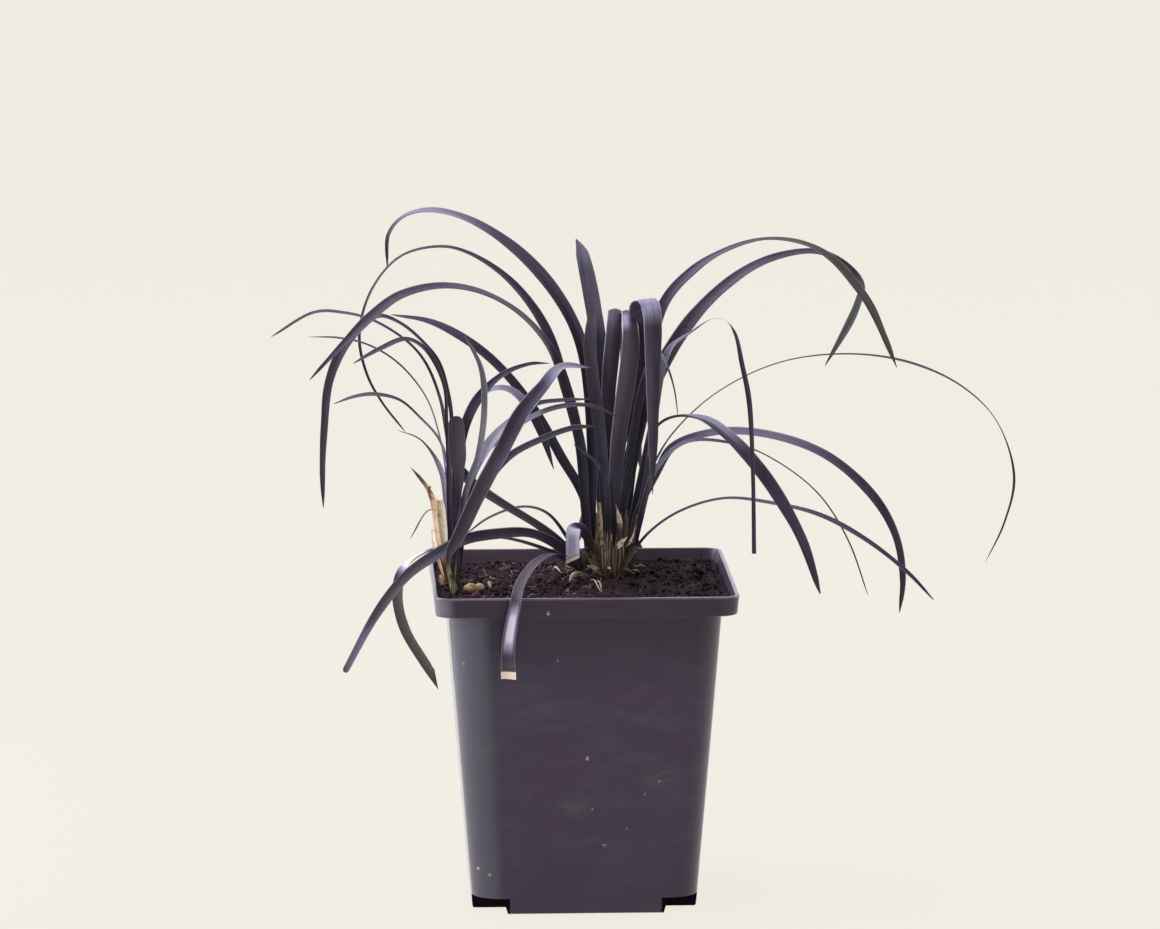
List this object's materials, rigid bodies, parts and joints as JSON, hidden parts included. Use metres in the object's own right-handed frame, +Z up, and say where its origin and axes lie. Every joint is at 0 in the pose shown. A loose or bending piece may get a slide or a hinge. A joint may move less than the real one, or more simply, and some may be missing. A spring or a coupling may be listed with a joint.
{
  "type": "potted black mondo grass",
  "caption": "Clump of near-black strap-leaved grass arching out of a square plastic nursery pot filled with soil.",
  "frame": {"origin": "middle of the pot's underside, on the flat floor between its feet", "axes": "+Z up, +X to the right and +Y to the back when the pot's front wall faces the viewer"},
  "size_m": [0.2269, 0.1189, 0.2038],
  "materials": {
    "pot_plastic": "satin",
    "soil": "matt",
    "black_leaf": "satin",
    "tan_sheath": "matt",
    "old_sheath": "matt",
    "tuber": "matt"
  },
  "bodies": {
    "root": {"pot_square_nursery": "pot_plastic", "potting_soil": "soil", "shoot_crown_left": "black_leaf", "shoot_crown_front": "black_leaf", "shoot_crown_centre": "black_leaf", "shoot_crown_back": "black_leaf", "shoot_crown_right": "black_leaf", "shoot_rear": "black_leaf", "shoot_left_front": "black_leaf", "shoot_left_inner": "black_leaf", "shoot_left_outer": "black_leaf", "sheath_left_tan": "tan_sheath", "old_sheaths_crown_left": "old_sheath", "old_sheaths_crown_right": "old_sheath", "tuber_yellow": "tuber"}
  },
  "joints": []
}
